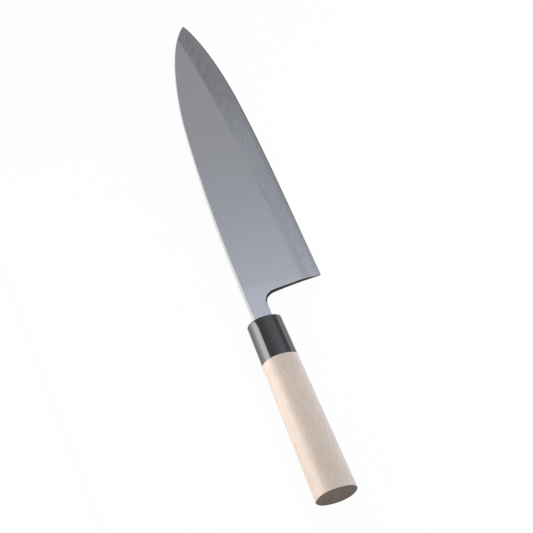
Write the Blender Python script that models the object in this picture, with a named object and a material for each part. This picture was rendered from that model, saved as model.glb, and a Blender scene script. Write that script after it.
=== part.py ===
"""Salmon knife: a right-handed, single-bevel blade in an oval wooden handle with a horn ferrule.

The blade is soft iron with a thin layer of hard steel welded to its flat back, and the tang is forged
in one with the iron. The ferrule sits on a tenon at the handle's front end, and the tang runs through
both. Nothing moves.

Frame: metres, the bevelled face up. +X runs from the butt to the tip and +Y from the edge to the spine.
The origin lies under the middle of the knife, level with the lowest point of the handle.
"""

import math

import bmesh
import bpy
import numpy as np
from mathutils import Vector
from mathutils.geometry import interpolate_bezier

# Blade, measured from its heel corner and from the handle's axis
BLADE_LENGTH = 0.2400
EDGE_BELOW_AXIS = 0.0606
SPINE_ABOVE_AXIS = 0.0072
TIP_BELOW_AXIS = 0.0358
HEEL_THICKNESS = 0.0050
TIP_THICKNESS = 0.0013
EDGE_LAND = 0.0001
SPINE_CHAMFER = 0.0004
BEVEL_WIDTH = 0.0149
BEVEL_END_TO_TIP = 0.0113
RIDGE_TO_CHAMFER = 0.0002

# Steel layer, thinner towards the tip, and the shallow hollow ground into its back
STEEL_AT_HEEL = 0.0012
STEEL_AT_TIP = 0.00045
STEEL_BEHIND_HEEL = 0.0120
HOLLOW_DEPTH = 0.0004
HOLLOW_RIM = 0.0020
HOLLOW_FADE = 0.0100

# Choil, neck and tang
CHOIL_LENGTH = 0.0175
HEEL_EASE = 0.0028
HEEL_LIFT = 0.0010
NECK_LENGTH = 0.0295
NECK_HEIGHT = 0.0146
NECK_FLARE = 0.0006
NECK_THICKNESS = 0.0046
NECK_IN_FERRULE = 0.0030
TANG_LENGTH = 0.1000
TANG_ROOT_HEIGHT = 0.0125
TANG_ROOT_THICKNESS = 0.0038
TANG_END_HEIGHT = 0.0070
TANG_END_THICKNESS = 0.0026

# Handle and ferrule, one oval that swells towards the butt
HANDLE_LENGTH = 0.1491
FRONT_HEIGHT = 0.0272
FRONT_THICKNESS = 0.0238
BUTT_HEIGHT = 0.0330
BUTT_THICKNESS = 0.0290
OVAL_POWER = 2.16
FERRULE_LENGTH = 0.0338
FERRULE_ROUND = 0.0010
BUTT_ROUND = 0.0006
SOCKET_DEPTH = 0.0220
TENON_HEIGHT = 0.0195
TENON_THICKNESS = 0.0160
TENON_CHAMFER = 0.0006
TANG_HOLE_SPARE = 0.0020

CLEARANCE = 0.0003
CUT_MARGIN = 0.0100

# Bezier handles of the blade's outlines. Each pair is a share of the curve's length and a share of its rise.
SPINE_SWEEP = ((0, 0), (0.204, 0.007), (0.420, 0.081), (0.625, 0.226), (0.686, 0.269), (0.929, 0.512), (1, 1))
EDGE_SWEEP = ((0, 0), (0.210, 0.065), (0.476, 0.075), (0.688, 0.253), (0.900, 0.431), (0.996, 0.934), (1, 1))
RIDGE_SWEEP = ((0, 0), (0.446, 0.337), (0.787, 0.515), (1, 1))
CHOIL_SWEEP = ((0, 0), (0.055, 0.244), (0.212, 0.615), (0.315, 0.798), (0.355, 0.869), (0.666, 1.015), (1, 1))
HEEL_SWEEP = ((0, 0), (0.600, 0), (1, 0.400), (1, 1))

# A chamfer or rim takes no more than this share of a thin section, and sections crowd towards the tip
THIN_SHARE = 0.25
TIP_CROWDING = 1.7
CURVE_STEPS = 40
CHOIL_STEPS = 16
HEEL_STEPS = 6
BLADE_STATIONS = 44
HOLLOW_STEPS = 8
OVAL_STEPS = 72
ROUND_STEPS = 4
SHARP_ANGLE = 25


def collection(name):
    """A new collection under the scene."""
    made = bpy.data.collections.new(name)
    bpy.context.scene.collection.children.link(made)
    return made


def material(name, colour, roughness, metallic):
    """A Principled material."""
    made = bpy.data.materials.new(name)
    made.use_nodes = True
    shader = made.node_tree.nodes["Principled BSDF"]
    shader.inputs["Base Color"].default_value = (*colour, 1)
    shader.inputs["Roughness"].default_value = roughness
    shader.inputs["Metallic"].default_value = metallic
    return made


def sweep(shares, start, end, steps=CURVE_STEPS):
    """Points of the smooth curve whose Bezier handles lie at these shares of the way from start to end."""
    handles = [Vector((start[0] + u * (end[0] - start[0]), start[1] + v * (end[1] - start[1]))) for u, v in shares]
    points = []
    for first in range(0, len(handles) - 1, 3):
        points += interpolate_bezier(*handles[first:first + 4], steps)[:-1]
    return [tuple(point) for point in points] + [tuple(handles[-1])]


def height_at(x, curve):
    """The y of a curve at x. Before its start it runs on level."""
    return float(np.interp(x, [point[0] for point in curve], [point[1] for point in curve]))


def add_object(name, mesh, parent, group):
    """An object of this mesh, placed by its parent."""
    made = bpy.data.objects.new(name, mesh)
    made.parent = parent
    group.objects.link(made)
    return made


def add_cutter(name, mesh, parent):
    """A helper that only cuts, and isn't part of the knife."""
    made = add_object(name, mesh, parent, cutters)
    made.hide_render = True
    made.display_type = "WIRE"
    return made


def loft(name, sections):
    """A closed mesh through sections of like counts. A section of one point ends it in a tip."""
    made = bmesh.new()
    rings = [[made.verts.new(point) for point in section] for section in sections]
    for first, second in zip(rings, rings[1:]):
        count = max(len(first), len(second))
        for i in range(count):
            j = (i + 1) % count
            corners = [first[i % len(first)], first[j % len(first)], second[j % len(second)], second[i % len(second)]]
            made.faces.new(dict.fromkeys(corners))
    for ring in (rings[0], rings[-1]):
        if len(ring) > 1:
            made.faces.new(ring)
    bmesh.ops.recalc_face_normals(made, faces=made.faces)
    mesh = bpy.data.meshes.new(name)
    made.to_mesh(mesh)
    made.free()
    mesh.shade_smooth()
    mesh.set_sharp_from_angle(angle=math.radians(SHARP_ANGLE))
    return mesh


def box(name, low, high):
    """A box between two corners."""
    made = bmesh.new()
    bmesh.ops.create_cube(made, size=1)
    for vertex in made.verts:
        vertex.co = Vector(low[i] if vertex.co[i] < 0 else high[i] for i in range(3))
    mesh = bpy.data.meshes.new(name)
    made.to_mesh(mesh)
    made.free()
    return mesh


def plate(name, outline, half_thickness):
    """A flat outline of (x, y) points as a mesh, this far to each side of z = 0."""
    curve = bpy.data.curves.new(name, "CURVE")
    curve.dimensions = "2D"
    curve.fill_mode = "BOTH"
    curve.extrude = half_thickness
    spline = curve.splines.new("POLY")
    spline.points.add(len(outline) - 1)
    for point, (x, y) in zip(spline.points, outline):
        point.co = (x, y, 0, 1)
    spline.use_cyclic_u = True
    drawn = bpy.data.objects.new(name, curve)
    bpy.context.scene.collection.objects.link(drawn)
    mesh = bpy.data.meshes.new_from_object(drawn.evaluated_get(bpy.context.evaluated_depsgraph_get()))
    bpy.data.objects.remove(drawn)
    closed = bmesh.new()
    closed.from_mesh(mesh)
    bmesh.ops.remove_doubles(closed, verts=closed.verts, dist=1e-6)
    bmesh.ops.recalc_face_normals(closed, faces=closed.faces)
    closed.to_mesh(mesh)
    closed.free()
    return mesh


def cut(target, cutter, operation="DIFFERENCE"):
    """A live Boolean."""
    modifier = target.modifiers.new(cutter.name, "BOOLEAN")
    modifier.operation = operation
    modifier.object = cutter


def face_height(x):
    """How far the blade's front flat lies above its back plane. It tapers to the tip, and a little to the ferrule."""
    return float(np.interp(x, [-NECK_LENGTH, 0, BLADE_LENGTH], [NECK_THICKNESS, HEEL_THICKNESS, TIP_THICKNESS]))


def weld_height(x):
    """How far the weld between steel and iron lies above the back plane."""
    return STEEL_AT_HEEL + x / BLADE_LENGTH * (STEEL_AT_TIP - STEEL_AT_HEEL)


def blade_section(x):
    """One section of the blade at full height, as points round it, from the spine down the bevelled face."""
    spine = height_at(x, spine_curve)
    edge = height_at(x, edge_curve)
    front = face_height(x)
    if x > bevel_end:
        front = min(front, EDGE_LAND + end_slope * (spine - edge))
    chamfer = min(SPINE_CHAMFER, THIN_SHARE * front)
    rim = min(HOLLOW_RIM, THIN_SHARE * (spine - edge))
    ridge = min(height_at(x, ridge_curve), spine - chamfer - min(RIDGE_TO_CHAMFER, THIN_SHARE * chamfer))
    reach = min(max((x + STEEL_BEHIND_HEEL) / HOLLOW_FADE, 0), 1)
    depth = HOLLOW_DEPTH * reach * (spine - edge) / (SPINE_ABOVE_AXIS + EDGE_BELOW_AXIS)
    points = [(spine, chamfer), (spine, front - chamfer), (spine - chamfer, front)]
    points += [(ridge, front), (edge, EDGE_LAND), (edge, 0)]
    for step in range(HOLLOW_STEPS + 1):
        share = step / HOLLOW_STEPS
        points.append((edge + rim + share * (spine - edge - 2 * rim), depth * 4 * share * (1 - share)))
    points.append((spine - chamfer, 0))
    return [(x, y, z) for y, z in points]


def make_blank(name):
    """The blade and neck at full height, before the choil is cut: a loft from inside the ferrule to the tip."""
    stations = [-NECK_LENGTH - NECK_IN_FERRULE, -NECK_LENGTH, -STEEL_BEHIND_HEEL, HOLLOW_FADE - STEEL_BEHIND_HEEL]
    for step in range(1, BLADE_STATIONS):
        stations.append(BLADE_LENGTH * (1 - (1 - step / BLADE_STATIONS) ** TIP_CROWDING))
    tip = (BLADE_LENGTH, -TIP_BELOW_AXIS, EDGE_LAND / 2)
    return loft(name, [blade_section(x) for x in stations] + [[tip]])


def make_choil_cutter():
    """What is cut away behind the heel: the eased heel corner, the choil's curve, and the neck's underside."""
    neck_end = -NECK_LENGTH - NECK_IN_FERRULE - CUT_MARGIN
    neck_slope = NECK_FLARE / (NECK_LENGTH - CHOIL_LENGTH)
    neck_under = SPINE_ABOVE_AXIS - NECK_HEIGHT
    choil_top = (-CHOIL_LENGTH, neck_under - NECK_FLARE)
    heel_end = (0, HEEL_LIFT - EDGE_BELOW_AXIS)
    corner = sweep(HEEL_SWEEP, (HEEL_EASE, -EDGE_BELOW_AXIS), heel_end, HEEL_STEPS)
    below = -EDGE_BELOW_AXIS - CUT_MARGIN
    outline = [(HEEL_EASE, below)] + corner[:-1] + sweep(CHOIL_SWEEP, heel_end, choil_top, CHOIL_STEPS)
    outline += [(neck_end, neck_under + (-NECK_LENGTH - neck_end) * neck_slope), (neck_end, below)]
    return add_cutter("choil_cutter", plate("choil_cutter", outline, CUT_MARGIN), blade_root)


def make_steel_space():
    """The space of the steel layer, under the weld and ahead of the neck."""
    below = -EDGE_BELOW_AXIS - CUT_MARGIN
    above = SPINE_ABOVE_AXIS + CUT_MARGIN
    sections = []
    for x in (-STEEL_BEHIND_HEEL, BLADE_LENGTH + CUT_MARGIN):
        top = weld_height(x)
        sections.append([(x, below, -CUT_MARGIN), (x, above, -CUT_MARGIN), (x, above, top), (x, below, top)])
    return add_cutter("steel_space", loft("steel_space", sections), blade_root)


def tang_section(x, grow=0.0):
    """One section of the tang at x behind the ferrule's front, grown all round by a clearance."""
    share = -x / TANG_LENGTH
    half_height = (TANG_ROOT_HEIGHT + share * (TANG_END_HEIGHT - TANG_ROOT_HEIGHT)) / 2 + grow
    half_thickness = (TANG_ROOT_THICKNESS + share * (TANG_END_THICKNESS - TANG_ROOT_THICKNESS)) / 2 + grow
    middle = SPINE_ABOVE_AXIS - NECK_HEIGHT / 2
    corners = ((-1, -1), (1, -1), (1, 1), (-1, 1))
    return [(x, middle + side * half_height, up * half_thickness) for side, up in corners]


def make_blade_iron():
    """Soft iron: the bevelled side of the blade, the whole neck, and the tang forged in one with them."""
    made = add_object("blade_iron", make_blank("blade_iron"), blade_root, knife)
    cut(made, steel_space)
    cut(made, choil_cutter)
    tang = loft("tang", [tang_section(x) for x in (NECK_IN_FERRULE, -TANG_LENGTH)])
    cut(made, add_cutter("tang", tang, axis), "UNION")
    made.data.materials.append(material("soft_iron", (0.42, 0.43, 0.45), 0.36, 1))


def make_blade_steel():
    """Hard steel: a thin sheet over the whole back, which the bevel lays bare along the cutting edge."""
    made = add_object("blade_steel", make_blank("blade_steel"), blade_root, knife)
    cut(made, steel_space, "INTERSECT")
    cut(made, choil_cutter)
    made.data.materials.append(material("hard_steel", (0.50, 0.51, 0.53), 0.22, 1))


def oval(x, half_height, half_thickness):
    """One oval section, a little squarer than an ellipse."""
    points = []
    for step in range(OVAL_STEPS):
        angle = 2 * math.pi * step / OVAL_STEPS
        c, s = math.cos(angle), math.sin(angle)
        y = half_height * math.copysign(abs(c) ** (2 / OVAL_POWER), c)
        z = half_thickness * math.copysign(abs(s) ** (2 / OVAL_POWER), s)
        points.append((x, y, z))
    return points


def handle_oval(x, inset=0.0):
    """The section of the handle and ferrule at x, drawn in by an inset."""
    share = -x / HANDLE_LENGTH
    height = FRONT_HEIGHT + share * (BUTT_HEIGHT - FRONT_HEIGHT)
    thickness = FRONT_THICKNESS + share * (BUTT_THICKNESS - FRONT_THICKNESS)
    return oval(x, height / 2 - inset, thickness / 2 - inset)


def rounded_end(x, inward, radius):
    """Sections of a rounded rim, from the end face at x to where the rounding ends."""
    sections = []
    for step in range(ROUND_STEPS + 1):
        angle = math.pi / 2 * step / ROUND_STEPS
        sections.append(handle_oval(x + inward * radius * (1 - math.cos(angle)), radius * (1 - math.sin(angle))))
    return sections


def make_horn_ferrule():
    """Horn: an oval with a slot in its nose for the neck and tang, and a socket behind for the tenon."""
    sections = rounded_end(0, -1, FERRULE_ROUND) + [handle_oval(-FERRULE_LENGTH)]
    made = add_object("horn_ferrule", loft("horn_ferrule", sections), axis, knife)
    half_height = TENON_HEIGHT / 2 + CLEARANCE
    half_thickness = TENON_THICKNESS / 2 + CLEARANCE
    socket_ends = (-FERRULE_LENGTH - CUT_MARGIN, SOCKET_DEPTH - FERRULE_LENGTH)
    socket = loft("socket", [oval(x, half_height, half_thickness) for x in socket_ends])
    cut(made, add_cutter("socket", socket, axis))
    low = (-FERRULE_LENGTH, SPINE_ABOVE_AXIS - NECK_HEIGHT - CLEARANCE, -NECK_THICKNESS / 2 - CLEARANCE)
    high = (CUT_MARGIN, SPINE_ABOVE_AXIS + CLEARANCE, NECK_THICKNESS / 2 + CLEARANCE)
    cut(made, add_cutter("neck_slot", box("neck_slot", low, high), axis))
    made.data.materials.append(material("black_horn", (0.018, 0.017, 0.018), 0.12, 0))


def make_wood_handle():
    """Pale wood: an oval with a tenon in front, a flat butt, and a blind hole burnt to the tang's shape."""
    tenon_front = SOCKET_DEPTH - CLEARANCE - FERRULE_LENGTH
    half_height, half_thickness = TENON_HEIGHT / 2, TENON_THICKNESS / 2
    sections = rounded_end(-HANDLE_LENGTH, 1, BUTT_ROUND) + [
        handle_oval(-FERRULE_LENGTH),
        oval(-FERRULE_LENGTH, half_height, half_thickness),
        oval(tenon_front - TENON_CHAMFER, half_height, half_thickness),
        oval(tenon_front, half_height - TENON_CHAMFER, half_thickness - TENON_CHAMFER),
    ]
    made = add_object("wood_handle", loft("wood_handle", sections), axis, knife)
    hole_ends = (0, -TANG_LENGTH - TANG_HOLE_SPARE)
    hole = loft("tang_hole", [tang_section(x, CLEARANCE) for x in hole_ends])
    cut(made, add_cutter("tang_hole", hole, axis))
    made.data.materials.append(material("pale_wood", (0.80, 0.68, 0.54), 0.55, 0))


for old in list(bpy.data.objects):
    bpy.data.objects.remove(old)

knife = collection("salmon_knife")
cutters = collection("cutters")

# The handle's axis, at the ferrule's front face
length = BLADE_LENGTH + NECK_LENGTH + HANDLE_LENGTH
axis = bpy.data.objects.new("handle_axis", None)
axis.location = (HANDLE_LENGTH - length / 2, (EDGE_BELOW_AXIS - BUTT_HEIGHT / 2) / 2, BUTT_THICKNESS / 2)
knife.objects.link(axis)

# The heel corner's place along the blade, on the back plane
blade_root = bpy.data.objects.new("blade_root", None)
blade_root.parent = axis
blade_root.location = (NECK_LENGTH, 0, -NECK_THICKNESS / 2)
knife.objects.link(blade_root)

# The blade's outlines. The ridge between bevel and flat meets the spine a little before the tip.
tip_point = (BLADE_LENGTH, -TIP_BELOW_AXIS)
spine_curve = sweep(SPINE_SWEEP, (0, SPINE_ABOVE_AXIS), tip_point)
edge_curve = sweep(EDGE_SWEEP, (0, -EDGE_BELOW_AXIS), tip_point)
bevel_end = BLADE_LENGTH - BEVEL_END_TO_TIP
end_height = height_at(bevel_end, spine_curve)
end_slope = (face_height(bevel_end) - EDGE_LAND) / (end_height - height_at(bevel_end, edge_curve))
ridge_curve = sweep(RIDGE_SWEEP, (0, BEVEL_WIDTH - EDGE_BELOW_AXIS), (bevel_end, end_height))

choil_cutter = make_choil_cutter()
steel_space = make_steel_space()
make_blade_iron()
make_blade_steel()
make_horn_ferrule()
make_wood_handle()
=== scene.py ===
import math

import bmesh
import bpy
import numpy as np
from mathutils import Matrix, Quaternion, Vector, noise
from mathutils.geometry import interpolate_bezier


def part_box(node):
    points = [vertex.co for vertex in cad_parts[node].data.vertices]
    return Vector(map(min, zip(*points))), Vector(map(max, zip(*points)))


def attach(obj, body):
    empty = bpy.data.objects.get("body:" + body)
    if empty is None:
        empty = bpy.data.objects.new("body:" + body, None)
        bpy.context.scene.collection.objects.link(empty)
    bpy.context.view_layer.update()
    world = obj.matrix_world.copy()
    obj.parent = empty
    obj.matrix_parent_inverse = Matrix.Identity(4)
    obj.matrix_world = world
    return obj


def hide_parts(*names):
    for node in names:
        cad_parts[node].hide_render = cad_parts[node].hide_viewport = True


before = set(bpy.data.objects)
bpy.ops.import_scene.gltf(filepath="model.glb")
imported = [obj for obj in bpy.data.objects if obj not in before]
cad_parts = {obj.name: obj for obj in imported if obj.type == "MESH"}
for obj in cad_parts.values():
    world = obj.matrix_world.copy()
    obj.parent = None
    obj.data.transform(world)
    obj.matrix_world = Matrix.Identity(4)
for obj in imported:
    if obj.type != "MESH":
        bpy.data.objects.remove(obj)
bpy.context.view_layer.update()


# Soft iron: the bevelled side of the blade, the neck and the tang, forged in one. The smith grinds its
# side flat and polishes the bevel on stones to a haze and the spine bright. The choil's sides are
# coloured near-black as painted shade, for the shaded floor they reflect.

BLADE_LENGTH = 0.2400
EDGE_BELOW_AXIS = 0.0606
SPINE_ABOVE_AXIS = 0.0072
TIP_BELOW_AXIS = 0.0358
HEEL_THICKNESS = 0.0050
TIP_THICKNESS = 0.0013
SPINE_ROUND = 0.0004
BEVEL_WIDTH = 0.0149
BEVEL_END_TO_TIP = 0.0113

# The keen edge is ground steeper than the bevel, though at most so many times as steep
EDGE_LAND = 0.0001
KEEN_WIDTH = 0.0008
KEEN_SLOPE = 0.55
KEEN_OVER_BEVEL = 1.6

# Stones rub the ridge soft, least at the tip, and leave it and the ground faces a little uneven. The faces
# calm down towards edge and spine.
RIDGE_SOFTNESS = ((0, 0.5, 1), (0.0055, 0.0012, 0.0003))
SOFTNESS_OVER_THICKNESS = 1.2
RIDGE_SWAY = 0.00045
RIDGE_SWAY_LENGTH = 0.016
FACE_SWAY = 0.00007
FACE_SWAY_LENGTHS = (0.024, 0.011)
CALM_AT_EDGE = 0.012
CALM_AT_SPINE = 0.006

STEEL_AT_HEEL = 0.0012
STEEL_AT_TIP = 0.00045
STEEL_BEHIND_HEEL = 0.0120
HOLLOW_DEPTH = 0.0004
HOLLOW_RIM = 0.0020
HOLLOW_FADE = 0.0100

# The choil's edges are broken wider in the hook, by the shares given at these places behind the heel
CHOIL_LENGTH = 0.0175
HEEL_EASE = 0.0028
HEEL_LIFT = 0.0010
CHOIL_ROUND = 0.0004
HOOK_ROUND = 0.0022
HOOK_SHARE = 0.45
HOOK_REACH = ((-0.0195, -0.0150, -0.0100, -0.0030), (0.15, 1, 1, 0))

NECK_LENGTH = 0.0295
NECK_HEIGHT = 0.0146
NECK_FLARE = 0.0009
NECK_THICKNESS = 0.0046
NECK_IN_FERRULE = 0.0030
TANG_LENGTH = 0.1000
TANG_ROOT_HEIGHT = 0.0125
TANG_ROOT_THICKNESS = 0.0038
TANG_END_HEIGHT = 0.0070
TANG_END_THICKNESS = 0.0026

# Bezier handles of the blade's outlines, as shares of each curve's length and rise
SPINE_SWEEP = (
    (0, 0), (0.204, 0.006), (0.420, 0.068), (0.625, 0.213),
    (0.686, 0.256), (0.929, 0.510), (1, 1),
)
EDGE_SWEEP = (
    (0, 0), (0.210, 0.065), (0.476, 0.075), (0.688, 0.253),
    (0.900, 0.431), (0.996, 0.934), (1, 1),
)
RIDGE_SWEEP = ((0, 0), (0.446, 0.337), (0.787, 0.515), (1, 1))
CHOIL_SWEEP = (
    (0, 0), (0.055, 0.246), (0.225, 0.618), (0.328, 0.802),
    (0.360, 0.859), (0.544, 1.009), (1, 1),
)
HEEL_SWEEP = ((0, 0), (0.600, 0), (1, 0.400), (1, 1))

# A rounding takes no more than this share of a thin section, and cutters reach past what they cut
THIN_SHARE = 0.25
CUT_MARGIN = 0.0100
CUT_LEAD = 0.2
CUT_SPREAD = 1.5

TIP_CROWDING = 1.5
CURVE_STEPS = 60
CHOIL_STEPS = 28
HEEL_STEPS = 8
UNDERSIDE_STEPS = 8
BLADE_STATIONS = 130
NECK_STATIONS = 14
ROUND_STEPS = 5
FLAT_STEPS = 8
RIDGE_STEPS = 6
BEVEL_STEPS = 7
HOLLOW_STEPS = 14
SHARP_ANGLE = math.radians(28)

# The ground side's satin flat, its bevel hazed on the stones and darker towards the tip as painted shade,
# and what marks it
SATIN = ((0.410, 0.417, 0.450), (0.438, 0.446, 0.483))
BEVEL_TIP_SHADE = ((0.275, 0.278, 0.298), (0.335, 0.338, 0.362))
STONED = ((0.364, 0.376, 0.416), (0.414, 0.426, 0.474))
SPOTTED = (0.27, 0.275, 0.30)
SCRATCHED = (0.30, 0.31, 0.33)
BRIGHT_SPINE = (0.72, 0.71, 0.71)
# Painted shade: near-black for the choil's sides, standing in for the shaded floor they reflect
CHOIL_SHADE = ((0.016, 0.013, 0.012), (0.050, 0.040, 0.036))
HAZE_SLANT = math.radians(24)
SCRATCH_DEPTH = 0.000008


class Value:
    """A socket of a material, on which sums are written as Python expressions."""

    def __init__(self, finish, socket):
        self.finish = finish
        self.socket = socket

    def sum(self, operation, first, second):
        return self.finish.node("ShaderNodeMath", {"operation": operation}, {0: first, 1: second})

    def __add__(self, other):
        return self.sum("ADD", self, other)

    def __sub__(self, other):
        return self.sum("SUBTRACT", self, other)

    def __rsub__(self, other):
        return self.sum("SUBTRACT", other, self)

    def __mul__(self, other):
        return self.sum("MULTIPLY", self, other)

    __radd__ = __add__
    __rmul__ = __mul__


class Finish:
    """The nodes of a material or of the world, made as its finish needs them."""

    def __init__(self, owner):
        owner.use_nodes = True
        self.owner = owner
        self.tree = owner.node_tree
        self.shader = self.tree.nodes.get("Principled BSDF") or self.tree.nodes["Background"]

    def measured(self):
        """Places in millimetres in the knife's frame, for what varies over a piece."""
        self.place = self.scaled(self.node("ShaderNodeTexCoord", output="Object"), (1000, 1000, 1000))
        self.x = self.part(self.place, "X")
        self.y = self.part(self.place, "Y")
        self.z = self.part(self.place, "Z")
        return self

    def node(self, kind, settings={}, sockets={}, output=0):
        """A new node's named output. Its settings are made first, then its sockets' values or links."""
        made = self.tree.nodes.new(kind)
        for name, value in settings.items():
            setattr(made, name, value)
        for name, value in sockets.items():
            self.feed(made.inputs[name], value)
        return Value(self, made.outputs[output])

    def feed(self, socket, value):
        if isinstance(value, Value):
            self.tree.links.new(value.socket, socket)
        else:
            socket.default_value = value

    def shade(self, **sockets):
        """Sets or links the shader's own sockets. A name's underscores stand for spaces."""
        for name, value in sockets.items():
            self.feed(self.shader.inputs[name.replace("_", " ")], value)

    def surface(self, shader):
        """Puts this shader on the surface in place of the first one."""
        self.feed(self.tree.nodes["Material Output"].inputs["Surface"], shader)

    def part(self, vector, letter):
        return self.node("ShaderNodeSeparateXYZ", {}, {0: vector}, letter)

    def scaled(self, vector, factors):
        return self.node("ShaderNodeVectorMath", {"operation": "MULTIPLY"}, {0: vector, 1: factors})

    def facing(self, letter):
        """How far the surface faces along X, Y or Z."""
        return self.part(self.node("ShaderNodeNewGeometry", output="Normal"), letter)

    def noted(self, name):
        """What the mesh has noted at each point under this name."""
        return self.node("ShaderNodeAttribute", {"attribute_name": name}, output="Fac")

    def slanted(self, angle):
        """The places turned about Z, for marks that run at a slant."""
        sockets = {"Vector": self.place, "Angle": angle}
        return self.node("ShaderNodeVectorRotate", {"rotation_type": "Z_AXIS"}, sockets)

    def near(self, value, middle, reach):
        """1 at the middle value, falling softly to 0 at this reach to both sides."""
        off = self.node("ShaderNodeMath", {"operation": "ABSOLUTE"}, {0: value - middle})
        return self.between(off, reach, 0)

    def mottle(self, grain, detail=2.0, roughness=0.5, place=None):
        """Noise from 0 to 1. The grain says how many marks there are per millimetre along X, Y and Z."""
        where = self.scaled(place or self.place, grain)
        sockets = {"Vector": where, "Scale": 1.0, "Detail": detail, "Roughness": roughness}
        return self.node("ShaderNodeTexNoise", {}, sockets)

    def between(self, value, low, high):
        """0 below low and 1 above high, with a soft step between them. With low above high it falls."""
        sockets = {"Value": value, "From Min": low, "From Max": high}
        return self.node("ShaderNodeMapRange", {"interpolation_type": "SMOOTHSTEP"}, sockets)

    def blend(self, share, first, second):
        """A colour on the way from the first to the second."""
        sockets = {"Factor": share}
        for input_number, colour in ((6, first), (7, second)):
            sockets[input_number] = (*colour, 1) if isinstance(colour, tuple) else colour
        return self.node("ShaderNodeMix", {"data_type": "RGBA"}, sockets, 2)

    def relief(self, height, depth):
        """A bump of this depth in metres, fed to the shader's normal."""
        sockets = {"Height": height, "Distance": depth, "Strength": 1.0}
        self.shade(Normal=self.node("ShaderNodeBump", {}, sockets))


def sweep(shares, start, end, steps=CURVE_STEPS):
    """Points of a smooth curve. Its Bezier handles lie at these shares of the way from start to end."""
    run, rise = end[0] - start[0], end[1] - start[1]
    handles = [Vector((start[0] + u * run, start[1] + v * rise)) for u, v in shares]
    points = []
    for first in range(0, len(handles) - 1, 3):
        points += interpolate_bezier(*handles[first:first + 4], steps)[:-1]
    return [tuple(point) for point in points] + [tuple(handles[-1])]


def read_off(x, curve):
    """What a curve, given as its places and its values there, has at x."""
    return float(np.interp(x, *curve))


def quarter_turn():
    """The angles at which a rounded edge has its rows."""
    return [math.pi / 2 * step / ROUND_STEPS for step in range(ROUND_STEPS + 1)]


def loft(name, sections, place):
    """A closed mesh through sections of like counts, moved to its place. One point alone makes a tip."""
    made = bmesh.new()
    rings = [[made.verts.new(Vector(point) + place) for point in section] for section in sections]
    for first, second in zip(rings, rings[1:]):
        count = max(len(first), len(second))
        for i in range(count):
            j = (i + 1) % count
            around = ((first, i), (first, j), (second, j), (second, i))
            made.faces.new(dict.fromkeys(ring[k % len(ring)] for ring, k in around))
    for ring in (rings[0], rings[-1]):
        if len(ring) > 1:
            made.faces.new(ring)
    bmesh.ops.recalc_face_normals(made, faces=made.faces)
    mesh = bpy.data.meshes.new(name)
    made.to_mesh(mesh)
    made.free()
    return mesh


def worked(name, mesh, cuts):
    """The mesh after its cuts, each a mesh and a Boolean operation, with smooth faces and crisp edges."""
    made = bpy.data.objects.new(name, mesh)
    bpy.context.scene.collection.objects.link(made)
    helpers = []
    for tool, operation in cuts:
        helper = bpy.data.objects.new(tool.name, tool)
        bpy.context.scene.collection.objects.link(helper)
        helpers.append(helper)
        modifier = made.modifiers.new(tool.name, "BOOLEAN")
        modifier.operation = operation
        modifier.object = helper
    result = bpy.data.meshes.new_from_object(made.evaluated_get(bpy.context.evaluated_depsgraph_get()))
    made.modifiers.clear()
    made.data = result
    for helper in helpers:
        bpy.data.objects.remove(helper)
    result.name = name
    result.shade_smooth()
    result.set_sharp_from_angle(angle=SHARP_ANGLE)
    even = made.modifiers.new("even_faces", "WEIGHTED_NORMAL")
    even.keep_sharp = True
    return made


def dressed(piece, finish, node):
    """The piece in its finish, standing for its CAD node."""
    piece.data.materials.clear()
    piece.data.materials.append(finish.owner)
    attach(piece, "root")
    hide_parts(node)


def noted_edges(piece):
    """Notes at each point how far it lies above the edge and the ridge, in millimetres."""
    above_edge, above_ridge = [], []
    for vertex in piece.data.vertices:
        x, y, _ = vertex.co - heel
        _, ridge, edge, *_ = outline_at(x)
        above_edge.append((y - edge) * 1000)
        above_ridge.append((y - ridge) * 1000)
    for name, values in (("above_edge", above_edge), ("above_ridge", above_ridge)):
        piece.data.attributes.new(name, "FLOAT", "POINT").data.foreach_set("value", values)


def face_height(x):
    """How far the blade's front flat lies above its back plane."""
    places = (-NECK_LENGTH, 0, BLADE_LENGTH)
    return read_off(x, (places, (NECK_THICKNESS, HEEL_THICKNESS, TIP_THICKNESS)))


def weld_height(x):
    """How far the weld between steel and iron lies above the back plane."""
    return STEEL_AT_HEEL + x / BLADE_LENGTH * (STEEL_AT_TIP - STEEL_AT_HEEL)


def outline_at(x):
    """At x: spine, ridge, edge, the flat's height, and how wide the ridge, spine and edge are eased."""
    spine = read_off(x, spine_line)
    edge = read_off(x, edge_line)
    flat = face_height(x)
    if x > bevel_end:
        flat = min(flat, EDGE_LAND + end_slope * (spine - edge))
    round_off = min(SPINE_ROUND, THIN_SHARE * flat)
    share = min(max(x / BLADE_LENGTH, 0), 1)
    soft = min(read_off(share, RIDGE_SOFTNESS), SOFTNESS_OVER_THICKNESS * flat)
    sway = RIDGE_SWAY * (1 - share) * noise.noise(Vector((x / RIDGE_SWAY_LENGTH, 0, 0)))
    below_spine = spine - round_off - soft - round_off / 4
    ridge = min(read_off(x, ridge_line) + sway, below_spine)
    keen = min(KEEN_WIDTH, THIN_SHARE * (ridge - edge))
    return spine, ridge, edge, flat, soft, round_off, keen


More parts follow.
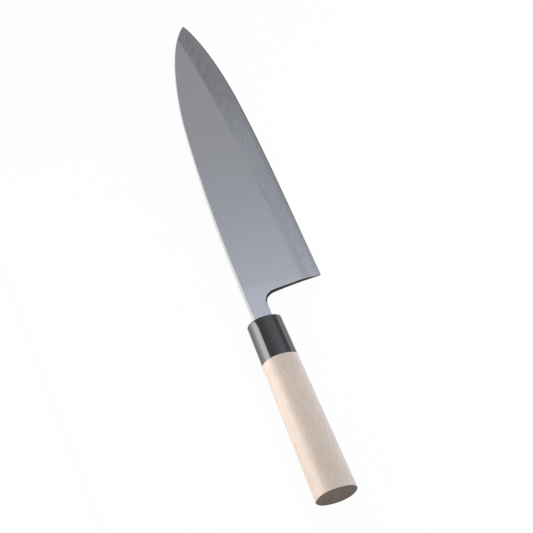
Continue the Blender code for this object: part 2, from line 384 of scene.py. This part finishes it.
def ground_height(x, y):
    """Height of the ground side over the back plane: flat, soft ridge, bevel and keen edge."""
    spine, ridge, edge, flat, soft, _, keen = outline_at(x)
    steepest = KEEN_OVER_BEVEL * (flat - EDGE_LAND) / (ridge - edge)
    keen_height = EDGE_LAND + keen * min(KEEN_SLOPE, steepest)
    slope = (flat - keen_height) / (ridge - edge - keen)
    past = ridge - y
    if y < edge + keen:
        drop = flat - EDGE_LAND - (keen_height - EDGE_LAND) * (y - edge) / keen
    elif past > soft:
        drop = slope * past
    elif past > -soft:
        drop = slope * (past + soft) ** 2 / (4 * soft)
    else:
        drop = 0
    along, across = FACE_SWAY_LENGTHS
    uneven = 0.5 + 0.5 * noise.noise(Vector((x / along, y / across, 0.5)))
    calm = min((y - edge) / CALM_AT_EDGE, (spine - y) / CALM_AT_SPINE, flat / HEEL_THICKNESS, 1)
    return flat - drop - FACE_SWAY * uneven * max(calm, 0)


def blade_section(x):
    """A section of the blade: round the spine, down the ground side, and back over the hollow."""
    spine, ridge, edge, flat, soft, round_off, keen = outline_at(x)
    points = []
    for centre, start in ((round_off, -math.pi / 2), (flat - round_off, 0)):
        for turn in quarter_turn():
            out, up = round_off * math.cos(start + turn), round_off * math.sin(start + turn)
            points.append((spine - round_off + out, centre + up))
    rows = np.linspace(spine - round_off, ridge + soft, FLAT_STEPS + 1)[1:]
    rows = np.append(rows, np.linspace(ridge + soft, ridge - soft, RIDGE_STEPS + 1)[1:])
    support = THIN_SHARE / 2 * keen
    rows = np.append(rows, np.linspace(ridge - soft, edge + keen + support, BEVEL_STEPS + 1)[1:])
    rows = np.append(rows, [edge + keen, edge + keen - support, edge])
    points += [(y, ground_height(x, y)) for y in rows]
    points.append((edge, 0))
    rim = min(HOLLOW_RIM, THIN_SHARE * (spine - edge))
    reach = min(max((x + STEEL_BEHIND_HEEL) / HOLLOW_FADE, 0), 1)
    depth = HOLLOW_DEPTH * reach * (spine - edge) / (SPINE_ABOVE_AXIS + EDGE_BELOW_AXIS)
    for step in range(HOLLOW_STEPS + 1):
        share = step / HOLLOW_STEPS
        points.append((edge + rim + share * (spine - edge - 2 * rim), depth * 4 * share * (1 - share)))
    return [(x, y, z) for y, z in points]


def blade_blank(name):
    """The blade and neck at full height, from inside the ferrule to the tip."""
    neck_start = -NECK_LENGTH - NECK_IN_FERRULE
    stations = list(np.linspace(neck_start, -STEEL_BEHIND_HEEL, NECK_STATIONS))
    stations += list(np.linspace(-STEEL_BEHIND_HEEL, 0, NECK_STATIONS))[1:]
    for step in range(1, BLADE_STATIONS):
        stations.append(BLADE_LENGTH * (1 - (1 - step / BLADE_STATIONS) ** TIP_CROWDING))
    tip = (BLADE_LENGTH, -TIP_BELOW_AXIS, EDGE_LAND / 2)
    return loft(name, [blade_section(float(x)) for x in stations] + [[tip]], heel)


def choil_curve():
    """The line cut round the heel corner, along the choil, through the hook and under the neck."""
    neck_end = -NECK_LENGTH - NECK_IN_FERRULE - CUT_MARGIN
    neck_slope = NECK_FLARE / (NECK_LENGTH - CHOIL_LENGTH)
    choil_top = (-CHOIL_LENGTH, SPINE_ABOVE_AXIS - NECK_HEIGHT - NECK_FLARE)
    heel_end = (0, HEEL_LIFT - EDGE_BELOW_AXIS)
    curve = sweep(HEEL_SWEEP, (HEEL_EASE, -EDGE_BELOW_AXIS), heel_end, HEEL_STEPS)[:-1]
    curve += sweep(CHOIL_SWEEP, heel_end, choil_top, CHOIL_STEPS)
    for x in np.linspace(-CHOIL_LENGTH, neck_end, UNDERSIDE_STEPS)[1:]:
        curve.append((float(x), choil_top[1] + (-CHOIL_LENGTH - float(x)) * neck_slope))
    return curve


def choil_cut(name):
    """What is cut away behind the heel and under the neck, wider at both faces to break the edges."""
    curve = choil_curve()
    below = -EDGE_BELOW_AXIS - CUT_MARGIN
    # Each ring's face, 0 for the back and 1 for the front, its level there, its height clear of the blade,
    # and its spread. Level and spread are in widths of the broken edge.
    plan = [(0, 0, -CUT_MARGIN, CUT_SPREAD), (0, -CUT_LEAD, 0, CUT_SPREAD), (0, 0, 0, 1), (0, 1, 0, 0)]
    plan += [(1, math.sin(turn) - 1, 0, 1 - math.cos(turn)) for turn in quarter_turn()]
    plan += [(1, CUT_LEAD, 0, CUT_SPREAD), (1, 0, CUT_MARGIN, CUT_SPREAD)]
    sections = []
    for front, level, clear, spread in plan:
        ring = [(HEEL_EASE, below)]
        for i, (x, y) in enumerate(curve):
            before, after = curve[max(i - 1, 0)], curve[min(i + 1, len(curve) - 1)]
            along = Vector((after[0] - before[0], after[1] - before[1])).normalized()
            top = max(ground_height(x, y), EDGE_LAND / 2)
            if front:
                wide = CHOIL_ROUND + read_off(x, HOOK_REACH) * (HOOK_ROUND - CHOIL_ROUND)
                broken = min(wide, HOOK_SHARE * top)
            else:
                broken = min(CHOIL_ROUND, THIN_SHARE * top) / 2
            height = clear or front * top + level * broken
            ring.append((x + along.y * spread * broken, y - along.x * spread * broken, height))
        ring[0] = (HEEL_EASE, below, ring[1][2])
        ring.append((curve[-1][0], below, ring[-1][2]))
        sections.append(ring)
    return loft(name, sections, heel)


def steel_space(name):
    """The space of the steel layer, under the weld and ahead of the neck."""
    below = -EDGE_BELOW_AXIS - CUT_MARGIN
    above = SPINE_ABOVE_AXIS + CUT_MARGIN
    sections = []
    for x in (-STEEL_BEHIND_HEEL, BLADE_LENGTH + CUT_MARGIN):
        top = weld_height(x)
        corners = ((below, -CUT_MARGIN), (above, -CUT_MARGIN), (above, top), (below, top))
        sections.append([(x, y, z) for y, z in corners])
    return loft(name, sections, heel)


def tang_section(x, grow=0.0):
    """One section of the tang at x behind the ferrule's front, grown all round by a clearance."""
    share = -x / TANG_LENGTH
    height = TANG_ROOT_HEIGHT + share * (TANG_END_HEIGHT - TANG_ROOT_HEIGHT)
    thickness = TANG_ROOT_THICKNESS + share * (TANG_END_THICKNESS - TANG_ROOT_THICKNESS)
    middle = SPINE_ABOVE_AXIS - NECK_HEIGHT / 2
    corners = ((-1, -1), (1, -1), (1, 1), (-1, 1))
    return [(x, middle + side * (height / 2 + grow), up * (thickness / 2 + grow)) for side, up in corners]


def blade_finish(name):
    """A finish with what the blade's iron and steel share: where it is, and the haze of the stones."""
    f = Finish(bpy.data.materials.new(name)).measured()
    f.above_edge = f.noted("above_edge")
    f.forward = f.between(f.x, heel_x, heel_x + BLADE_LENGTH * 1000)
    f.on_front = f.between(f.facing("Z"), 0.5, 0.8)
    f.on_spine = f.between(f.facing("Y"), 0.35, 0.75)
    f.haze = f.mottle((0.10, 0.42, 0.3), detail=4, roughness=0.6, place=f.slanted(HAZE_SLANT))
    return f


# Where the CAD has the handle's axis, at the ferrule's front face, and the heel corner on the back plane
handle_low, handle_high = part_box("wood_handle")
handle_centre = (handle_low + handle_high) / 2
axis = Vector((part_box("horn_ferrule")[1].x, handle_centre.y, handle_centre.z))
heel = axis + Vector((NECK_LENGTH, 0, -NECK_THICKNESS / 2))
heel_x = heel.x * 1000

tip_point = (BLADE_LENGTH, -TIP_BELOW_AXIS)
spine_line = np.transpose(sweep(SPINE_SWEEP, (0, SPINE_ABOVE_AXIS), tip_point))
edge_line = np.transpose(sweep(EDGE_SWEEP, (0, -EDGE_BELOW_AXIS), tip_point))
bevel_end = BLADE_LENGTH - BEVEL_END_TO_TIP
end_height = read_off(bevel_end, spine_line)
end_slope = (face_height(bevel_end) - EDGE_LAND) / (end_height - read_off(bevel_end, edge_line))
ridge_start = (0, BEVEL_WIDTH - EDGE_BELOW_AXIS)
ridge_line = np.transpose(sweep(RIDGE_SWEEP, ridge_start, (bevel_end, end_height)))

tang = loft("tang", [tang_section(x) for x in (NECK_IN_FERRULE, -TANG_LENGTH)], axis)
iron_cuts = [
    (steel_space("steel_space"), "DIFFERENCE"),
    (choil_cut("choil"), "DIFFERENCE"),
    (tang, "UNION"),
]
iron = worked("iron_blade", blade_blank("iron_blade"), iron_cuts)
noted_edges(iron)

f = blade_finish("soft_iron")
above_ridge = f.noted("above_ridge")
faded = f.between(f.forward, 0.64, 0.44)
wavy_ridge = above_ridge + (f.mottle((0.05, 0.02, 0.02)) - 0.5) * (1 - f.forward) * 4
on_bevel = f.between(wavy_ridge, 0.5 + faded, -0.9 - faded * 9) * f.on_front
in_hook = f.between(f.x, heel_x - 18, heel_x - 14) * f.between(f.x, heel_x - 1, heel_x - 6)
on_side = f.between(f.facing("Z"), 0.45 + in_hook * 0.53, 0.2 + in_hook * 0.70) * (1 - f.on_spine)

clouds = f.mottle((0.05, 0.08, 0.08), detail=5, roughness=0.65)
scratches = f.mottle((5.5, 0.22, 0.4), detail=3, roughness=0.6)
rub = f.mottle((0.9, 0.06, 0.1))
# Painted shade: the bevel's colour darkens towards the tip
bevel_tip_shade = f.blend(f.between(f.haze, 0.3, 0.7), *BEVEL_TIP_SHADE)
stoned = f.blend(f.between(f.haze, 0.25, 0.75), *STONED)
bevel = f.blend(f.between(f.forward, 0.5, 0.95), stoned, bevel_tip_shade)
colour = f.blend(on_bevel, f.blend(clouds, *SATIN), bevel)

spots = f.between(f.mottle((0.24, 0.42, 0.3)), 0.54, 0.66) * f.near(f.above_edge, 4.5, 3.5)
smudge = f.near(f.x, heel_x + 18, 5) * f.near(above_ridge, -6.5, 5) * f.mottle((0.2, 0.2, 0.2))
ridge_trace = f.near(wavy_ridge, -0.5, 2.2) * f.near(f.forward, 0.25, 0.20)
marks = (spots * 0.5 + ridge_trace * 0.25 + smudge * 0.6) * f.on_front
colour = f.blend(marks, colour, SPOTTED)
colour = f.blend(f.between(scratches, 0.45, 0.8) * 0.10, colour, SCRATCHED)
colour = f.blend(f.on_spine, colour, BRIGHT_SPINE)
# Painted shade: the choil's sides coloured near-black, for the shaded floor they reflect
choil_shade = f.blend(f.mottle((0.9, 0.9, 1.4), detail=4, roughness=0.65), *CHOIL_SHADE)
colour = f.blend(on_side, colour, choil_shade)
f.shade(Base_Color=colour, Metallic=1.0)

eased = f.near(f.facing("Y"), 0.5, 0.5)
roughness = 0.34 + rub * 0.05 + f.haze * on_bevel * 0.06 + on_side * 0.25
f.shade(Roughness=roughness - f.on_spine * 0.12 - eased * 0.10)
pitted = f.mottle((2.5, 2.5, 2.5), detail=4, roughness=0.7) * on_side * 6
f.relief(scratches * (1 - on_side) + pitted, SCRATCH_DEPTH)
dressed(iron, f, "blade_iron")


# Hard steel: a thin sheet, forge-welded over the whole back. The bevel lays it bare as a bright strip
# along the cutting edge, and the back is ground hollow so that only a narrow flat rim meets the stone.

# The bare steel's colour near the heel, and darker near the tip as painted shade
STEEL_NEAR_HEEL = ((0.345, 0.352, 0.374), (0.390, 0.396, 0.420))
STEEL_TIP_SHADE = ((0.302, 0.305, 0.327), (0.352, 0.355, 0.380))
STEEL_BACK = ((0.50, 0.51, 0.53), (0.58, 0.59, 0.61))
# Painted shade: near-black for the steel's sides at the choil, for the shaded floor they reflect
STEEL_SIDE_SHADE = (0.03, 0.024, 0.020)
KEEN_STEEL = (0.14, 0.14, 0.145)

steel_cuts = [(steel_space("steel_space"), "INTERSECT"), (choil_cut("choil"), "DIFFERENCE")]
steel = worked("steel_layer", blade_blank("steel_layer"), steel_cuts)
noted_edges(steel)

f = blade_finish("hard_steel")
on_back = f.between(f.facing("Z"), -0.5, -0.8)
on_side = (1 - f.on_front) * (1 - f.on_spine) * (1 - on_back)
keen_strip = f.between(f.above_edge, 0.95, 0.75) * f.on_front
scratches = f.mottle((6.0, 0.25, 0.4), detail=3, roughness=0.6)
near_heel = f.blend(f.haze, *STEEL_NEAR_HEEL)
steel_tip_shade = f.blend(f.haze, *STEEL_TIP_SHADE)
# Painted shade: the bare steel darkens towards the tip
colour = f.blend(f.between(f.forward, 0.5, 0.95), near_heel, steel_tip_shade)
spots = f.between(f.mottle((0.24, 0.42, 0.3)), 0.56, 0.66) * f.near(f.above_edge, 4.5, 3.5)
colour = f.blend(spots * f.on_front * 0.5, colour, SPOTTED)
colour = f.blend(on_back, colour, f.blend(f.haze, *STEEL_BACK))
colour = f.blend(f.between(scratches, 0.45, 0.8) * 0.12, colour, SCRATCHED)
colour = f.blend(keen_strip, colour, KEEN_STEEL)
colour = f.blend(f.on_spine, colour, BRIGHT_SPINE)
# Painted shade: the steel's sides coloured near-black, for the shaded floor they reflect
colour = f.blend(on_side, colour, STEEL_SIDE_SHADE)
f.shade(Base_Color=colour, Metallic=1 - on_side * 0.8)
f.shade(Roughness=0.30 + f.haze * 0.06 + on_side * 0.35 - f.on_spine * 0.08)
f.relief(scratches, SCRATCH_DEPTH)
dressed(steel, f, "blade_steel")


# Horn ferrule: polished black buffalo horn, an oval that swells towards the handle. Its nose is slotted
# for the neck, and it is glued over the handle's tenon.

HANDLE_LENGTH = 0.1491
FRONT_HEIGHT = 0.0272
FRONT_THICKNESS = 0.0238
BUTT_HEIGHT = 0.0330
BUTT_THICKNESS = 0.0290
OVAL_POWER = 2.16
OVAL_STEPS = 144
FERRULE_LENGTH = 0.0338
FERRULE_ROUND = 0.0010
JOINT_ROUND = 0.00015
SOCKET_DEPTH = 0.0220
TENON_HEIGHT = 0.0195
TENON_THICKNESS = 0.0160
CLEARANCE = 0.0003

HORN = ((0.014, 0.013, 0.014), (0.032, 0.027, 0.025))
HORN_IOR = 1.6
HORN_RELIEF = 0.00002


def oval(x, half_height, half_thickness):
    """One oval section, a little squarer than an ellipse."""
    points = []
    for step in range(OVAL_STEPS):
        angle = 2 * math.pi * step / OVAL_STEPS
        c, s = math.cos(angle), math.sin(angle)
        y = half_height * math.copysign(abs(c) ** (2 / OVAL_POWER), c)
        z = half_thickness * math.copysign(abs(s) ** (2 / OVAL_POWER), s)
        points.append((x, y, z))
    return points


def handle_oval(x, inset=0.0):
    """The section of the handle and ferrule at x, drawn in by an inset."""
    share = -x / HANDLE_LENGTH
    height = FRONT_HEIGHT + share * (BUTT_HEIGHT - FRONT_HEIGHT)
    thickness = FRONT_THICKNESS + share * (BUTT_THICKNESS - FRONT_THICKNESS)
    return oval(x, height / 2 - inset, thickness / 2 - inset)


def rounded_end(x, inward, radius):
    """Sections of a rounded rim, from the end face at x to where the rounding ends."""
    sections = []
    for turn in quarter_turn():
        depth, inset = radius * (1 - math.cos(turn)), radius * (1 - math.sin(turn))
        sections.append(handle_oval(x + inward * depth, inset))
    return sections


def neck_slot(name):
    """The slot in the nose, for the neck and tang."""
    low, high = SPINE_ABOVE_AXIS - NECK_HEIGHT - CLEARANCE, SPINE_ABOVE_AXIS + CLEARANCE
    half = NECK_THICKNESS / 2 + CLEARANCE
    corners = ((low, -half), (high, -half), (high, half), (low, half))
    return loft(name, [[(x, y, z) for y, z in corners] for x in (CUT_MARGIN, -FERRULE_LENGTH)], axis)


def tenon_space(name):
    """The socket behind, for the tenon."""
    half_height, half_thickness = TENON_HEIGHT / 2 + CLEARANCE, TENON_THICKNESS / 2 + CLEARANCE
    ends = (-FERRULE_LENGTH - CUT_MARGIN, SOCKET_DEPTH - FERRULE_LENGTH)
    return loft(name, [oval(x, half_height, half_thickness) for x in ends], axis)


sections = rounded_end(0, -1, FERRULE_ROUND)
sections += [handle_oval(-FERRULE_LENGTH * share) for share in (0.25, 0.5, 0.75)]
sections += rounded_end(-FERRULE_LENGTH, 1, JOINT_ROUND)[::-1]
ferrule_cuts = [(tenon_space("tenon_space"), "DIFFERENCE"), (neck_slot("neck_slot"), "DIFFERENCE")]
ferrule = worked("horn_ferrule_oval", loft("horn_ferrule_oval", sections, axis), ferrule_cuts)

f = Finish(bpy.data.materials.new("black_horn")).measured()
streaks = f.mottle((0.05, 0.7, 0.7), detail=4, roughness=0.6)
flecks = f.mottle((0.5, 3.0, 3.0))
wipe = f.mottle((0.3, 1.6, 1.6), detail=3, roughness=0.6)
colour = f.blend(f.between(streaks, 0.5, 0.8), *HORN)
f.shade(Base_Color=colour, Roughness=0.07 + wipe * 0.06, IOR=HORN_IOR)
f.relief(streaks + flecks * 0.15, HORN_RELIEF)
dressed(ferrule, f, "horn_ferrule")


# Wooden handle: pale magnolia, sanded and left bare, with a tenon in front and a blind hole burnt to the
# tang's shape. The butt is sawn flat, so the end grain shows darker there, and its face and rim are
# coloured darker still as painted shade, for the little light that falls on the butt.

BUTT_ROUND = 0.0011
HANDLE_ENDS = 0.004
HANDLE_STATIONS = 14
TENON_CHAMFER = 0.0006
TANG_HOLE_SPARE = 0.0020

WOOD = ((0.680, 0.566, 0.482), (0.612, 0.498, 0.408))
LATE_WOOD = (0.50, 0.38, 0.28)
FIBRES = (0.43, 0.34, 0.265)
PORES = (0.42, 0.31, 0.23)
# Painted shade: a darker band along the middle of the handle's faces
HANDLE_MIDDLE_SHADE = (0.44, 0.35, 0.28)
# The end grain's own darker tone together with painted shade on the butt's face and rim
END_GRAIN_AND_SHADE = ((0.195, 0.152, 0.121), (0.070, 0.053, 0.042))
END_RIM = (0.035, 0.018, 0.010)
WOOD_RELIEF = 0.00002

tenon_front = SOCKET_DEPTH - CLEARANCE - FERRULE_LENGTH
tenon_half, tenon_side = TENON_HEIGHT / 2, TENON_THICKNESS / 2
ends = (HANDLE_ENDS - HANDLE_LENGTH, -FERRULE_LENGTH - HANDLE_ENDS)
sections = rounded_end(-HANDLE_LENGTH, 1, BUTT_ROUND)
sections += [handle_oval(x) for x in np.linspace(*ends, HANDLE_STATIONS)]
sections += rounded_end(-FERRULE_LENGTH, -1, JOINT_ROUND)[::-1]
sections += [oval(x, tenon_half, tenon_side) for x in (-FERRULE_LENGTH, tenon_front - TENON_CHAMFER)]
sections.append(oval(tenon_front, tenon_half - TENON_CHAMFER, tenon_side - TENON_CHAMFER))
hole_sections = [tang_section(x, CLEARANCE) for x in (0, -TANG_LENGTH - TANG_HOLE_SPARE)]
handle_cuts = [(loft("tang_hole", hole_sections, axis), "DIFFERENCE")]
handle = worked("wood_handle_oval", loft("wood_handle_oval", sections, axis), handle_cuts)

f = Finish(bpy.data.materials.new("pale_wood")).measured()
on_end = f.between(f.facing("X"), -0.50, -0.80)
sway = f.mottle((0.012, 0.05, 0.05))
fibre = f.mottle((0.10, 1.6, 1.6), detail=5, roughness=0.65)
pores = f.mottle((0.30, 3.2, 3.2), detail=3, roughness=0.6)
tone = f.mottle((0.01, 0.12, 0.12))
rings = f.node("ShaderNodeMath", {"operation": "FRACT"}, {0: f.y * 0.42 + f.z * 0.25 + sway * 3.5})
late = f.between(rings, 0.55, 0.95) * f.between(rings, 1.0, 0.96)
colour = f.blend(tone, *WOOD)
colour = f.blend(late * 0.12, colour, LATE_WOOD)
colour = f.blend(f.between(fibre, 0.42, 0.68) * 0.56, colour, FIBRES)
colour = f.blend(f.between(pores, 0.58, 0.72) * 0.42, colour, PORES)
# Painted shade: a darker band along the middle of the handle's faces, just behind the ferrule
handle_middle_shade = f.between(f.x, -118, -97) * f.near(f.y, 20, 9) * 0.22
colour = f.blend(handle_middle_shade, colour, HANDLE_MIDDLE_SHADE)
stain = f.between(f.mottle((0.1, 0.16, 0.32), detail=3, roughness=0.6), 0.38, 0.62)
# Painted shade with the end grain's own darker tone: the butt's face and rim are coloured dark
end_grain_and_shade = f.blend(late * 0.4 + fibre * 0.2 + stain * 0.4, *END_GRAIN_AND_SHADE)
end_grain_and_shade = f.blend(f.near(f.facing("X"), -0.72, 0.27), end_grain_and_shade, END_RIM)
colour = f.blend(on_end, colour, end_grain_and_shade)
f.shade(Base_Color=colour, Roughness=0.38 + fibre * 0.14 + on_end * 0.45)
f.relief(fibre + pores * -0.4 + late * 0.4, WOOD_RELIEF)
dressed(handle, f, "wood_handle")


# Studio: a pale floor under the knife, soft light all round, and a long lens from above the handle's
# side. Glowing cards, which the camera doesn't see, shape what the metal, horn and wood show.

FLOOR_SIZE = 12.0
FLOOR_GAP = 0.0004
FLOOR_TONE = (0.96, 0.96, 0.96)
FLOOR_ROUGHNESS = 0.9
FLOOR_FILL = 0.95
CARD_ON_FLOOR = 0.0006
OVER_NECK_HEIGHT = 0.37
SIDE_CARD_SLANT = 0.45
AMBIENT = 0.66
CEILING = 0.60

CAMERA_AZIMUTH = math.radians(226.483)
CAMERA_ELEVATION = math.radians(55.298)
CAMERA_ROLL = math.radians(26.102)
CAMERA_DISTANCE = 2.22307
CAMERA_TARGET = Vector((-0.014849, 0.002045, 0.0145))
CAMERA_LENS = 198.3
CAMERA_SENSOR = 36.0
CAMERA_REACH = 50.0


def plain_sight(f):
    """1 for the camera's rays and for those that gloss and glass send on."""
    rays = ("Is Camera Ray", "Is Glossy Ray", "Is Transmission Ray")
    camera, glossy, through = [f.node("ShaderNodeLightPath", output=ray) for ray in rays]
    return camera + glossy + through


def staged(name, corners, face, finish):
    """One flat piece of the studio in its finish."""
    mesh = bpy.data.meshes.new(name)
    mesh.from_pydata(corners, [], [face])
    made = bpy.data.objects.new(name, mesh)
    bpy.context.scene.collection.objects.link(made)
    mesh.materials.append(finish.owner)
    return made


def card(name, span, rows, tint, slant=0.0, **seen_by):
    """A glowing veil that adds to what lies behind it, over a span of X between two rows of Y and Z."""
    f = Finish(bpy.data.materials.new(name)).measured()
    corners = [(x + slant * (y - rows[0][0]), y, z) for y, z in rows for x in span]
    made = staged(name, corners, (0, 1, 3, 2), f)
    made.visible_camera = False
    made.visible_shadow = False
    for ray, visible in seen_by.items():
        setattr(made, ray, visible)
    glow = f.node("ShaderNodeEmission", {}, {"Color": (*tint, 1)})
    f.surface(f.node("ShaderNodeAddShader", {}, {0: glow, 1: f.node("ShaderNodeBsdfTransparent")}))
    f.strength = f.tree.nodes["Emission"].inputs["Strength"]
    return f


def grid(f, aim):
    """Lets a card's light out one way only, along the aim."""
    out = f.node("ShaderNodeCombineXYZ", {}, dict(enumerate(aim)))
    return f.between(f.node("ShaderNodeLayerWeight", {}, {"Normal": out}, "Facing"), 0.15, 0.07)


half = FLOOR_SIZE / 2
corners = [(x, y, -FLOOR_GAP) for x, y in ((-half, -half), (half, -half), (half, half), (-half, half))]
f = Finish(bpy.data.materials.new("floor"))
staged("floor", corners, (0, 1, 2, 3), f)
f.shade(Base_Color=(*FLOOR_TONE, 1), Roughness=FLOOR_ROUGHNESS)
glow = f.node("ShaderNodeEmission", {}, {"Color": (1, 1, 1, 1), "Strength": 1.0})
lit = Value(f, f.shader.outputs[0])
f.surface(f.node("ShaderNodeMixShader", {}, {0: plain_sight(f) * FLOOR_FILL, 1: lit, 2: glow}))

# Soft light over the neck, fading towards the tip
rows = [(y, OVER_NECK_HEIGHT) for y in (0.30, -0.46)]
f = card("over_neck", (-0.25, 0.32), rows, (0.89, 0.98, 1.14))
across = f.between(f.y, 300, -60) * 0.47 + f.between(f.y, 60, -140) * 0.52
across = across * f.between(f.y, -390, -170)
f.feed(f.strength, f.between(f.x, 270, 12) * f.between(f.x, -250, -100) * across)

# A strip low on the edge's side
f = card("edge_strip", (-0.04, 0.22), [(-0.42, 0.055), (-0.40, 0.195)], (0.95, 0.98, 1.05))
f.feed(f.strength, 1.2)

# A bright card close beside the handle, rising away from it in line with what the ferrule reflects. Its
# grids keep its light on the handle, most of it level and a little from low down.
rows = [(0.042, CARD_ON_FLOOR), (0.100, 0.0640)]
tint = (1.0, 0.965, 0.955)
f = card("side_card", (-0.215, -0.0545), rows, tint, SIDE_CARD_SLANT, visible_diffuse=False)
bright = f.between(f.y, 43, 54) * 3.0 + f.between(f.y, 50, 63) * 4.3
low = f.between(f.y, 43.5, 50) * 1.8
f.feed(f.strength, bright * grid(f, (0.55, 0.83, 0.10)) + low * grid(f, (0.35, 0.62, -0.70)))

# For the wood, and unseen in gloss: daylight from the spine's side with its bounce off the floor, and a
# cool fill from the edge's side
rows = [(0.20, 0.01), (0.25, 0.17)]
f = card("window", (-0.36, 0.10), rows, (0.99, 1.01, 1.05), visible_glossy=False)
f.feed(f.strength, 1.0)
rows = [(y, CARD_ON_FLOOR) for y in (0.048, 0.095)]
f = card("floor_bounce", (-0.24, -0.05), rows, (1.0, 0.99, 0.98), visible_glossy=False)
f.feed(f.strength, 0.5 + f.between(f.x, -210, -90) * 0.6)
rows = [(-0.36, 0.01), (-0.38, 0.17)]
f = card("cool_fill", (-0.36, 0.06), rows, (0.75, 0.98, 1.38), visible_glossy=False)
f.feed(f.strength, 3.3)

world = bpy.data.worlds.new("studio")
bpy.context.scene.world = world
f = Finish(world)
height = f.part(f.node("ShaderNodeTexCoord", output="Generated"), "Z")
around = 1 - f.between(height, 0.05, 0.35) * (1 - CEILING)
f.shade(Color=(1, 1, 1, 1), Strength=AMBIENT + plain_sight(f) * (around - AMBIENT))

lens = bpy.data.cameras.new("camera")
lens.lens = CAMERA_LENS
lens.sensor_width = CAMERA_SENSOR
lens.clip_end = CAMERA_REACH
camera = bpy.data.objects.new("camera", lens)
bpy.context.scene.collection.objects.link(camera)
level_back = math.cos(CAMERA_ELEVATION)
back = Vector((
    math.sin(CAMERA_AZIMUTH) * level_back,
    -math.cos(CAMERA_AZIMUTH) * level_back,
    math.sin(CAMERA_ELEVATION),
))
camera.location = CAMERA_TARGET + back * CAMERA_DISTANCE
camera.rotation_mode = "QUATERNION"
camera.rotation_quaternion = (-back).to_track_quat("-Z", "Y") @ Quaternion((0, 0, 1), CAMERA_ROLL)
bpy.context.scene.camera = camera
bpy.context.scene.view_settings.view_transform = "Standard"
